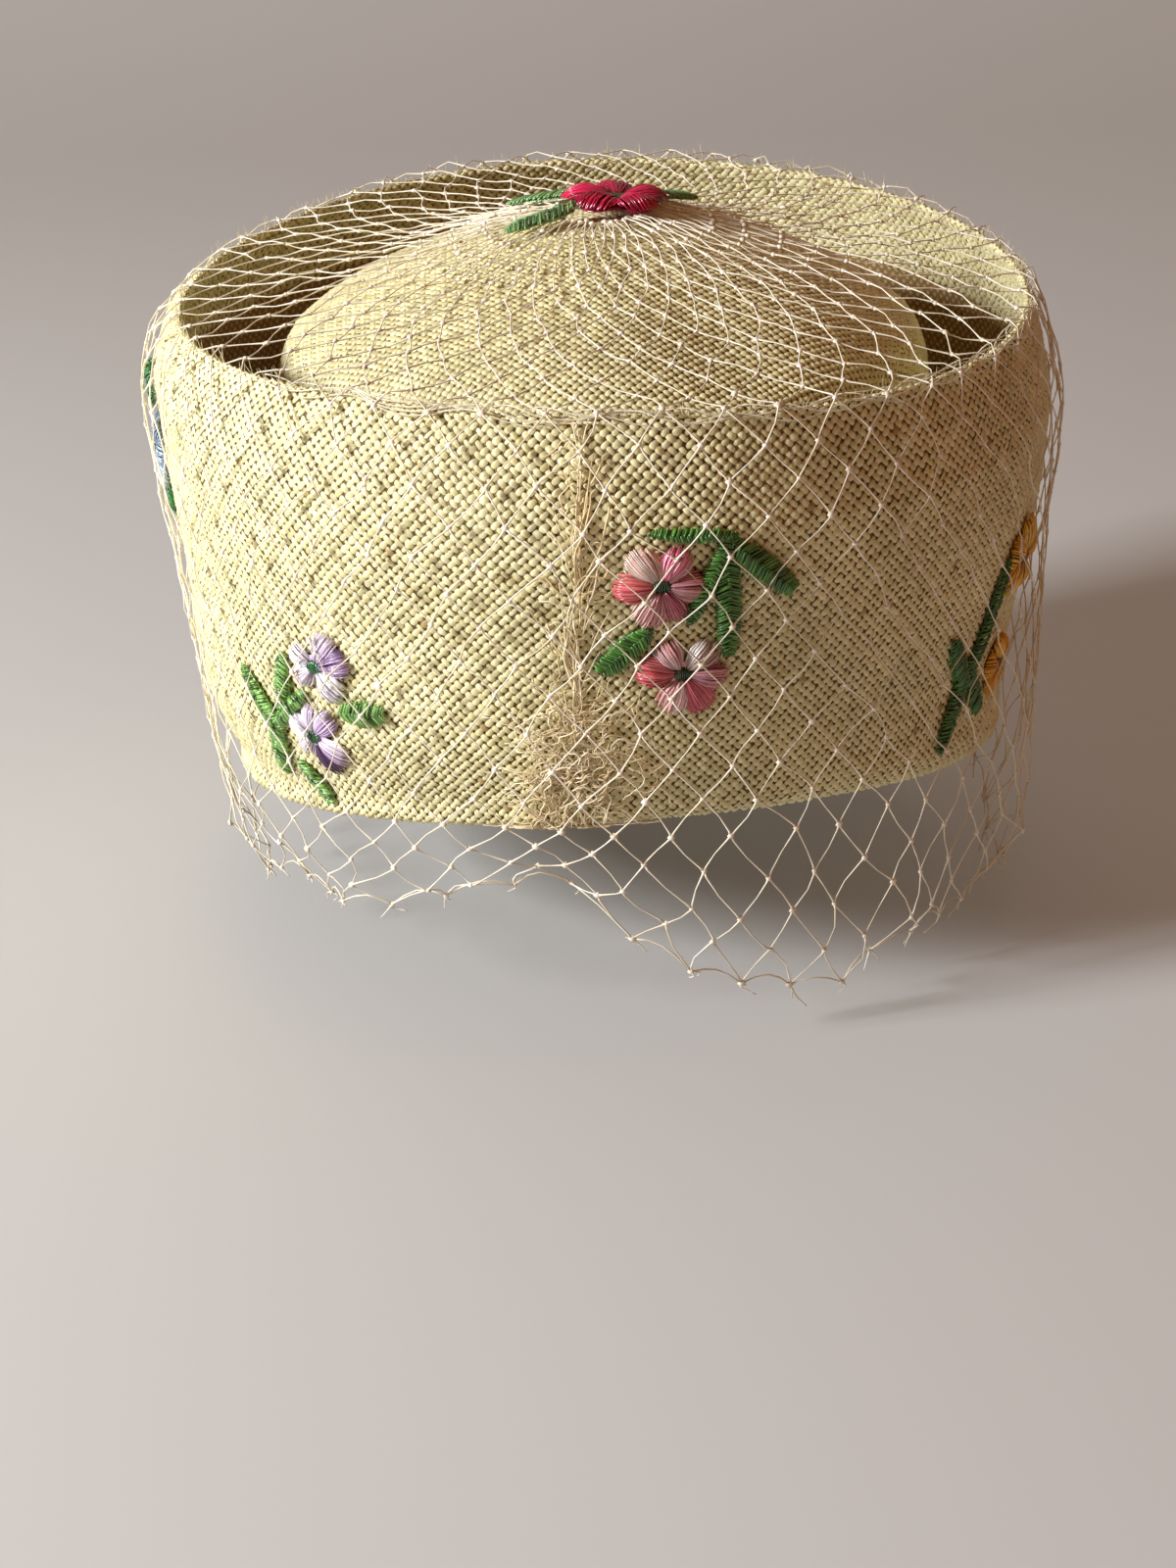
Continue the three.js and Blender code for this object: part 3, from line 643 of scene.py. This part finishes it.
def net_threads():
    """Each thread runs from a knot to one of the two below it, bowed a little. Where the knot
    below is past the cut edge, a short end is left."""
    paths, radii, facing = [], [], []
    steps = np.array([0, 0.12, 0.5, 0.88, 1])
    thin, thick = 0.14 * MM, 0.38 * MM
    for r in range(net_rows - 1):
        # The threads of the gathered rows by the rosette leave their knots more steeply.
        gathered = np.clip(1.1 - r / 6, 0.25, 1)
        for c in range(net_columns):
            for side in (-1, 0):
                c2 = (c + side + r % 2) % net_columns
                whole = knot_there[r + 1, c2]
                reach = 1 if whole else rng.uniform(0.15, 0.5)
                turn_by = (knot_azimuth[r + 1, c2] - knot_azimuth[r, c] + 180) % 360 - 180
                share = steps * reach
                eased = share**2 * (3 - 2 * share)
                bow = np.sin(math.pi * steps) * rng.normal(0, 0.5) * (0.45 + 0.8 * past[r, c])
                azimuth = knot_azimuth[r, c] + turn_by * (share + (eased - share) * gathered) + bow
                down = knot_down[r, c] + (knot_down[r + 1, c2] - knot_down[r, c]) * share
                spot, normal = net_at(azimuth, down)
                off = loose[r, c] + (loose[r + 1, c2] - loose[r, c]) * share
                off = off + np.sin(math.pi * steps) * rng.normal(0, 0.35 * MM)
                paths.append(spot + off[:, None] * normal)
                swell = np.abs(2 * steps - 1) ** 4 if whole else (1 - steps) ** 4
                radii.append(thin + (thick - thin) * swell)
                facing.append(normal)
    return np.array(paths), np.array(radii), np.array(facing)


def net_material():
    """Undyed twisted nylon thread: pale cream, with a soft sheen and fine grooves."""
    material, shader = new_material("veil_nylon", Roughness=0.5, IOR=1.53, Sheen_Weight=0.3)
    dye = add_node(material, "Attribute", attribute_name="dye").outputs["Color"]
    place = add_node(material, "TexCoord").outputs["Object"]
    ply_width = 0.4 * MM
    twist = add_node(material, "TexNoise", {"Vector": place, "Scale": 1 / ply_width, "Detail": 2})
    groove = {"Height": twist.outputs["Fac"], "Strength": 0.3, "Distance": 0.1 * MM}
    bump = add_node(material, "Bump", groove)
    material.node_tree.links.new(dye, shader.inputs["Base Color"])
    material.node_tree.links.new(bump.outputs[0], shader.inputs["Normal"])
    return material


nylon = net_material()
paths, radii, facing = net_threads()
thread_dye = mixed("#d9cba4", "#f8f0d9", 0.65 + 0.25 * rng.standard_normal(len(paths)))
thread_dye = np.repeat(thread_dye[:, None], paths.shape[1], 1)
net_mesh = joined("veil_threads", tubes(paths, radii, facing), True, thread_dye)
add_piece("veil_threads", net_mesh, nylon, "net", "veil")

# Each knot is a flat square bead with its corners towards its four threads.
spot = (knot_spot + loose[..., None] * knot_normal)[knot_there]
normal = knot_normal[knot_there]
heights = np.array([-0.4, 0, 0.42]) * MM
knot_paths = spot[:, None] + heights[None, :, None] * normal[:, None]
knot_radii = np.array([0.42, 0.85, 0.42]) * MM * (1 + 0.15 * rng.standard_normal((len(spot), 1)))
upright = np.cross(normal, np.cross(upward, normal))
corner = upright / np.linalg.norm(upright, axis=-1, keepdims=True)
knots = tubes(knot_paths, knot_radii, corner[:, None])
knot_dye = np.repeat(mixed("#e8dcbc", "#faf3e0", rng.random(len(spot)))[:, None], 3, 1)
add_piece("veil_knots", joined("veil_knots", knots, True, knot_dye), nylon, "net", "veil")


# The cut edge is bound by a thread from knot to knot, and where the net is taken over the front
# of the rim a few of its threads bunch together along the edge.
def net_line(name, spot, normal, radius, seed):
    """Threads along rows of places, facing the way of their normals."""
    rng = np.random.default_rng(seed)
    radii = radius * (1 + 0.12 * rng.standard_normal(spot.shape[:2]))
    dye = mixed("#d8caa4", "#f3ead0", rng.random(spot.shape[:2]))
    add_piece(name, joined(name, tubes(spot, radii, normal), True, dye), nylon, "net", "veil")


edge_azimuth, edge_down, edge_loose = knot_azimuth[-2], knot_down[-2], loose[-2]
share = np.linspace(0, 1, 5)
turn_by = (np.roll(edge_azimuth, -1) - edge_azimuth + 180) % 360 - 180
azimuth = edge_azimuth[:, None] + turn_by[:, None] * share
down = edge_down[:, None] * (1 - share) + np.roll(edge_down, -1)[:, None] * share
spot, normal = net_at(azimuth, down - 2.2 * MM * np.sin(math.pi * share))
off = edge_loose[:, None] * (1 - share) + np.roll(edge_loose, -1)[:, None] * share
net_line("veil_edge", spot + off[..., None] * normal, normal, 0.2 * MM, 32)

strands = 6
azimuth = np.linspace(-48, 76, 130)[None] + 6 * np.arange(strands)[:, None] % 11
turns = np.radians(azimuth) * np.linspace(9, 23, strands)[:, None] + np.arange(strands)[:, None]
down = (1.2 * np.sin(turns) + np.linspace(-3.4, 0.6, strands)[:, None]) * MM
spot, normal = brim_at(azimuth, down)
lift = (1.2 + 0.4 * np.cos(turns)) * MM
net_line("veil_rim_bundle", spot + lift[..., None] * normal, normal, 0.16 * MM, 33)


# ---- Flower trims: embroidered flowers and leaves of glossy rayon, stitched down on the straw.
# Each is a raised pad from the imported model, covered edge to edge with satin stitches.
pad_inset = 0.45 * MM
# These are in millimetres, as the stitches' places are.
trim_standoff = 0.5
trim_thickness = 1.4
rosette_standoff = 2.95
petal_stitch_spacing, leaf_stitch_spacing = 0.25, 0.52
petal_thread, leaf_thread = 0.42, 0.56
stitch_steps = np.array([0, 0.12, 0.32, 0.56, 0.8, 1.0])
wall_table = np.concatenate(surface(wall_grid), -1)


def wall_place(azimuth, height):
    """The place on the brim's outer face at an azimuth and a height in metres."""
    ends = wall_grid[:, [0, -1], 1].T
    top, foot = (np.interp(azimuth % 360, round_turn, np.append(end, end[0])) for end in ends)
    return read_table(wall_table, azimuth, (top - height) / (top - foot) * (wall_rows - 1))[0]


def on_wall(anchor, x, y, lift):
    """A place from an anchor (azimuth, millimetres up), millimetres right and up from it."""
    azimuth, up = anchor
    height = (up + y) * MM
    here = wall_place(np.full_like(x, azimuth), height)
    turned = azimuth + np.degrees(x * MM / np.hypot(here[..., 0], here[..., 1] / plan_depth))
    there = wall_place(turned, height)
    outward = there * [1, 1, 0] / np.linalg.norm(there[..., :2], axis=-1, keepdims=True)
    return there + (trim_standoff + lift)[..., None] * MM * outward


def on_tip(anchor, x, y, lift):
    """The same for the rosette, which lies on the net at the top of the dome, its petals cupped."""
    cupped = 1.7 * np.exp(-(((np.hypot(x, y) - 9) / 5) ** 2))
    x, y = x + anchor[0], y + anchor[1]
    azimuth = np.degrees(np.arctan2(x, -y / plan_depth))
    there = read_table(crown_table, azimuth, np.hypot(x, y / plan_depth) * MM / row_step)[0]
    return there + (rosette_standoff + lift + cupped)[..., None] * MM * upward


def petal_stitches(centre, petal, rng):
    """Satin stitches side by side along a round petal, from the flower's middle to its edge."""
    direction, reach, spread, left, right = petal
    root = 1.2
    flare = math.tan(math.radians(0.88 * spread))
    half_width = reach * flare / (1 + flare)
    count = round(2 * half_width / petal_stitch_spacing)
    off = (np.arange(count) + 0.5) / count * 2 - 1
    tip = reach + 0.3 - half_width * (1 - np.sqrt(1 - off**2)) + 0.26 * rng.standard_normal(count)
    ahead = root + (tip - root)[:, None] * stitch_steps
    widening = 0.15 + 0.85 * np.sin(0.5 * math.pi * np.clip(stitch_steps / 0.75, 0, 1))
    aside = (off + 0.05 * rng.standard_normal(count))[:, None] * half_width * widening
    turned = math.radians(direction)
    x = centre[0] + ahead * math.cos(turned) - aside * math.sin(turned)
    y = centre[1] + ahead * math.sin(turned) + aside * math.cos(turned)
    puff = np.sin(math.pi * (0.1 + 0.88 * stitch_steps)) ** 0.6 * (1.6 - 1.15 * off**2)[:, None]
    lift = trim_thickness * puff + 0.12 * rng.standard_normal((count, 1))
    blend = 0.5 - 0.5 * off[:, None] + 0.3 * rng.standard_normal((count, 1)) + 0.1 * stitch_steps
    # Each strand's tone differs at random, and painted shade darkens the petals towards the flower's
    # middle, where they dip beside the raised heart.
    shade = 1.05 + 0.2 * rng.standard_normal((count, 1)) - 0.6 * (1 - stitch_steps) ** 4
    return np.stack([x, y, lift], -1), mixed(left, right, blend) * shade[..., None].clip(0.3, 1.4)


def heart_stitches(centre, dye, rng):
    """The small knot of stitches in the middle of a flower."""
    count = 9
    x = centre[0] + np.linspace(-1.5, 1.5, count)[:, None] + 0.15 * rng.standard_normal((count, 1))
    half = 1.7 * np.sqrt(1 - np.linspace(-0.85, 0.85, count)[:, None] ** 2)
    y = centre[1] + half * (2 * stitch_steps - 1)
    lift = trim_thickness * (0.75 + 0.5 * np.sin(math.pi * stitch_steps)) + 0 * x
    shade = mixed(dye, "#0f3a18", 0.35 + 0.3 * rng.random((count, 1)) + 0 * y)
    return np.stack([x + 0 * y, y, lift], -1), shade


def leaf_stitches(leaf, dye, rng):
    """Two rows of slanting stitches that meet in a raised rib along the leaf."""
    x, y, to_x, to_y, width = leaf
    start, along = np.array([x, y]), np.array([to_x - x, to_y - y])
    length = np.hypot(*along)
    forward = along / length
    across = np.array([-forward[1], forward[0]])
    count = round(length / leaf_stitch_spacing)
    share = np.repeat((np.arange(count) + 0.5) / count, 2)
    side = np.tile([-1.0, 1.0], count)
    half = np.sqrt(1 - (2 * share - 1) ** 2) ** 0.75
    out = stitch_steps * (1.08 + 0.1 * rng.standard_normal((2 * count, 1))) - 0.14
    sideways = side[:, None] * out * half[:, None] * width / 2
    ahead = share[:, None] * length + 0.5 * np.abs(sideways) + 0.16 * rng.standard_normal((2 * count, 1))
    spot = start + ahead[..., None] * forward + sideways[..., None] * across
    lift = 0.3 + trim_thickness * half[:, None] * np.sqrt((1 - out**2).clip(0.02))
    lift = lift + 0.16 * rng.standard_normal((2 * count, 1))
    # Each stitch is mixed towards dark green by a random tone, and by painted shade towards the rib where
    # the two rows meet.
    depth = 0.22 + 0.3 * rng.standard_normal((2 * count, 1)) + 0.35 * (1 - stitch_steps) ** 2
    return np.concatenate([spot, lift[..., None]], -1), mixed(dye, "#143d1a", depth)


def rayon_material(name):
    """Rayon floss: long smooth filaments with a silky gloss and fine plied grooves."""
    material, shader = new_material(name, Roughness=0.24, IOR=1.54, Specular_IOR_Level=0.8)
    dye = add_node(material, "Attribute", attribute_name="dye").outputs["Color"]
    place = add_node(material, "TexCoord").outputs["Object"]
    # Filaments are finer than this: their grooves are drawn as coarse as they need to show.
    ply_width = 0.22 * MM
    ply = add_node(material, "TexNoise", {"Vector": place, "Scale": 1 / ply_width, "Detail": 3})
    light = add_node(material, "MapRange", {"Value": ply.outputs["Fac"], "To Min": 0.72, "To Max": 1.25})
    colour = add_node(material, "VectorMath", {0: dye, "Scale": light.outputs[0]}, operation="SCALE")
    groove = {"Height": ply.outputs["Fac"], "Strength": 0.3, "Distance": 0.08 * MM}
    bump = add_node(material, "Bump", groove)
    material.node_tree.links.new(colour.outputs[0], shader.inputs["Base Color"])
    material.node_tree.links.new(bump.outputs[0], shader.inputs["Normal"])
    return material


def pad(node, material, dye, slot):
    """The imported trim, merged and drawn in a little so that it stays under its stitches."""
    work = bmesh.new()
    work.from_mesh(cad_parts[node].data)
    bmesh.ops.remove_doubles(work, verts=work.verts, dist=1e-6)
    work.normal_update()
    drawn_in = [(v, v.co - pad_inset * v.normal) for v in work.verts]
    for v, co in drawn_in:
        v.co = co
    mesh = bpy.data.meshes.new(node + "_pad")
    work.to_mesh(mesh)
    work.free()
    mesh.materials.clear()
    mesh.shade_smooth()
    for layer in list(mesh.color_attributes):
        mesh.color_attributes.remove(layer)
    mesh.color_attributes.new("dye", "FLOAT_COLOR", "POINT")
    mesh.color_attributes["dye"].data.foreach_set("color", np.tile(linear(dye), len(mesh.vertices)))
    add_piece(node + "_pad", mesh, material, slot, node)


def stitched(node, place, anchor, groups, thickness, material, slot):
    """One node's stitches, from groups of (paths in millimetres from the anchor, dyes)."""
    paths = np.concatenate([group[0] for group in groups])
    dye = np.concatenate([np.broadcast_to(group[1], (*group[0].shape[:2], 4)) for group in groups])
    x, y, lift = np.moveaxis(paths, -1, 0)
    spots = place(anchor, x, y, lift)
    facing = place(anchor, x, y, lift + 1) - spots
    ends = np.array([0.7, 1, 1, 1, 1, 0.6])
    forms = tubes(spots, np.broadcast_to(thickness / 2 * MM * ends, x.shape), facing)
    name = node + "_stitches"
    add_piece(name, joined(name, forms, True, dye), material, slot, node)


# Places are millimetres right and up from a trim's anchor, which is an azimuth and a height. A
# petal is its direction, reach, half angle and the dyes of its two sides. A leaf is its two ends
# and its width.
trims = [
    {
        "name": "pink", "place": on_wall, "anchor": (7.5, 69.5), "slot": "pink_thread",
        "leaf_dye": "#5f9a3e", "heart": "#16451f",
        "flowers": {
            "flower_upper": ((-2.8, 10), [
                (128, 9.5, 36, "#f0e6dc", "#e3aa92"), (182, 9.5, 32, "#cc4f5c", "#dd8078"),
                (58, 9, 36, "#dd4d7c", "#efc0c8"), (352, 9.5, 34, "#c0707e", "#dba8aa"),
                (250, 10, 32, "#c9686c", "#e6c0b8"), (292, 9, 30, "#b95468", "#cf8088"),
            ]),
            "flower_lower": ((1.8, -11), [
                (122, 8.6, 34, "#f0dedb", "#dca29e"), (172, 9.8, 34, "#c4444f", "#dc7c7c"),
                (42, 9, 36, "#f2ece4", "#c9aaa2"), (350, 9.5, 32, "#bb6478", "#d6a0a8"),
                (255, 9.6, 34, "#f4dedb", "#d78a8c"), (298, 10.4, 32, "#cf6672", "#bf4a56"),
            ]),
        },
        "leaves": {
            "leaf_spray": [
                (-5.5, 21.5, 13, 19.8, 3.4), (10.5, 19.5, 25.4, 5.4, 6.4),
                (10.5, 20, 11.6, -8, 6), (11.5, 20.5, 3, 0.5, 4),
            ],
            "leaf_low": [(-4.5, 0, -15.2, -9.8, 6.4)],
        },
    },
    {
        "name": "lilac", "place": on_wall, "anchor": (-40.2, 44.2), "slot": "lilac_thread",
        "leaf_dye": "#8fc062", "heart": "#2c8a40",
        "flowers": {
            "flower_upper": ((1.7, 9.4), [
                (60, 9, 36, "#f4f1f3", "#cfb9d6"), (18, 9.4, 34, "#5a3568", "#c9acd0"),
                (165, 7.6, 38, "#f5f3f4", "#e9dfea"), (215, 7.8, 34, "#dcc9de", "#f5f1f4"),
                (312, 9, 42, "#f7f5f4", "#f0e9f0"),
            ]),
            "flower_lower": ((-1.6, -8.4), [
                (95, 7.4, 34, "#f5f2f4", "#d3bdd8"), (50, 8.4, 34, "#f4f1f4", "#b795c2"),
                (160, 7.8, 36, "#f6f4f5", "#ece3ed"), (222, 7.4, 34, "#f4eff4", "#e2d3e4"),
                (325, 8.8, 38, "#f3edf2", "#c7a8ce"), (285, 9.6, 30, "#4a2a55", "#6b4377"),
            ]),
        },
        "leaves": {
            "leaf_spray": [
                (-25.5, 2, -13, -10.5, 5), (-8.8, 10.5, -11.6, -8, 5.2),
                (-2.6, 2.6, -15, -10, 4.2), (-13.6, -7, -18.8, -24, 5.6),
            ],
            "leaf_right": [(6.4, -0.6, 18.6, 1.6, 6.4)],
            "leaf_low": [(-11, -17.5, -5, -28, 4.6)],
        },
    },
    {
        "name": "yellow", "place": on_wall, "anchor": (60.2, 42.5), "slot": "yellow_thread",
        "leaf_dye": "#4f8c3c", "heart": "#a8591c",
        "flowers": {
            "flower_upper": ((13, 17), [(80 + 72 * k, 9.4, 40, "#f8cf44", "#e9ad2c") for k in range(5)]),
            "flower_lower": ((12, -9.5), [(100 + 72 * k, 7.4, 40, "#f6c73c", "#e2a026") for k in range(5)]),
        },
        "leaves": {
            "leaf_spray": [
                (3, 20, -6, -9, 4.8), (-17, 7, -7, -9, 5.4),
                (-5.4, -1, -15.5, -21.5, 5), (-6, -4, 2.5, -17.5, 6),
            ],
        },
    },
    {
        "name": "blue", "place": on_wall, "anchor": (-84, 86), "slot": "blue_thread",
        "leaf_dye": "#2f8a42", "heart": "#2c6b3a",
        "flowers": {"flower": ((1, -4), [(60 * k, 8.6, 34, "#b6c5d4", "#7d95ad") for k in range(6)])},
        "leaves": {"leaf_high": [(3, 6.5, 1, 17, 5)], "leaf_low": [(-3, -13, -8, -23, 4.6)]},
    },
    {
        "name": "rosette", "place": on_tip, "anchor": (4, 0), "slot": "crimson_thread",
        "leaf_dye": "#86b06c", "heart": "#5a6a2c",
        "flowers": {"flower": ((0, 0), [(20 + 72 * k, 12, 40, "#d81c50", "#a00c34") for k in range(5)])},
        "leaves": {
            "leaf_front": [(-9, -6.5, -25, -14, 6)],
            "leaf_back": [(-9, 6.5, -25, 14.5, 6)],
            "leaf_right": [(9, 8.5, 19, 18, 5)],
        },
    },
]
green_rayon = rayon_material("green_rayon_thread")
rng = np.random.default_rng(41)
for trim in trims:
    rayon = rayon_material(trim["name"] + "_rayon_thread")
    for label, (centre, petals) in trim["flowers"].items():
        node = f"{trim['name']}_{label}"
        groups = [petal_stitches(centre, petal, rng) for petal in petals]
        groups.append(heart_stitches(centre, trim["heart"], rng))
        stitched(node, trim["place"], trim["anchor"], groups, petal_thread, rayon, trim["slot"])
        pad(node, rayon, petals[0][4], trim["slot"])
    for label, leaves in trim["leaves"].items():
        node = f"{trim['name']}_{label}"
        groups = [leaf_stitches(leaf, trim["leaf_dye"], rng) for leaf in leaves]
        stitched(node, trim["place"], trim["anchor"], groups, leaf_thread, green_rayon, "green_thread")
        pad(node, green_rayon, trim["leaf_dye"], "green_thread")


# ---- Veil seam: where the net's two ends meet its threads are cut and frayed. Hundreds of fine
# golden fibres wander down the straw, with a thick tangled tuft near the foot.
def frayed_paths(starts, headings, lengths, curl, steps, rng):
    """Wandering lines in millimetres on the wall: x right, y up, from their starts."""
    turn_by = curl * rng.standard_normal((len(starts), steps)).cumsum(1)
    heading = np.radians(headings)[:, None] + turn_by
    stride = (lengths / steps)[:, None]
    x = starts[:, :1] + (stride * np.cos(heading)).cumsum(1)
    y = starts[:, 1:] + (stride * np.sin(heading)).cumsum(1)
    return x, y


def seam_middle(y):
    """How far right of its anchor the seam runs, by height in millimetres."""
    height = [18, 27, 37, 45, 60, 80, 112]
    right = [-5, -2.6, 0.4, 1.8, 0.8, 3, 3.6]
    return np.interp(y, height, right)


rng = np.random.default_rng(51)
steps = 12
seam_anchor = (-5, 0)
seam_foot, seam_top = 18, 112
fibre_radius = 0.13 * MM
# The seam, its stray ends, the tuft and the ends that hang from it: each kind has its count, mean
# and spread of height, spread sideways, heading and its spread, lengths, curl and lift.
kinds = [
    (70, (70, 26), 0.9, (90, 12), (8, 26), 0.12, 0.6),
    (50, (68, 26), 1.6, (90, 70), (4, 11), 0.4, 1.0),
    (200, (35, 8), 5, (0, 120), (7, 19), 0.6, 2.2),
    (60, (24, 5), 4.4, (-95, 35), (6, 15), 0.3, 1.2),
]
counts, heights, sideways, aims, reaches, curls, lifts = zip(*kinds)
start_y = np.concatenate([rng.normal(*height, n) for height, n in zip(heights, counts)])
start_y = start_y.clip(seam_foot, seam_top)
spread = np.repeat(sideways, counts)
starts = np.stack([seam_middle(start_y) + spread * rng.standard_normal(len(start_y)), start_y], -1)
headings = np.concatenate([rng.normal(*heading, n) for heading, n in zip(aims, counts)])
lengths = np.concatenate([rng.uniform(*reach, n) for reach, n in zip(reaches, counts)])
curl = np.repeat(curls, counts)[:, None]
x, y = frayed_paths(starts, headings, lengths, curl, steps, rng)
y = np.clip(y, seam_foot - 0.5, seam_top + 1)
lift = np.repeat(lifts, counts) * rng.random(len(start_y))
wander = 0.3 * np.sin(np.linspace(0, 5, steps)[None] + rng.uniform(0, 6, (len(x), 1)))
lift = (lift[:, None] + wander).clip(0)
spots = on_wall(seam_anchor, x, y, lift)
facing = on_wall(seam_anchor, x, y, lift + 1) - spots
radii = fibre_radius * (1 + 0.3 * rng.standard_normal((len(x), 1))).clip(0.5) * np.ones(steps)
fibre_dye = np.repeat(mixed("#dcc086", "#fdf1cd", rng.random(len(x)))[:, None], steps, 1)


def fibre_material():
    """Raw frayed ends: dry golden fibre with hardly any gloss."""
    material, shader = new_material("frayed_fibre", Roughness=0.7, Sheen_Weight=0.4)
    dye = add_node(material, "Attribute", attribute_name="dye").outputs["Color"]
    place = add_node(material, "TexCoord").outputs["Object"]
    stain_width = 3 * MM
    stain = add_node(material, "TexNoise", {"Vector": place, "Scale": 1 / stain_width, "Detail": 2})
    light = add_node(material, "MapRange", {"Value": stain.outputs["Fac"], "To Min": 0.8, "To Max": 1.2})
    colour = add_node(material, "VectorMath", {0: dye, "Scale": light.outputs[0]}, operation="SCALE")
    material.node_tree.links.new(colour.outputs[0], shader.inputs["Base Color"])
    return material


fibre = fibre_material()
seam_mesh = joined("veil_seam_fibres", tubes(spots, radii, facing), True, fibre_dye)
add_piece("veil_seam_fibres", seam_mesh, fibre, "frayed_thread", "veil_seam")
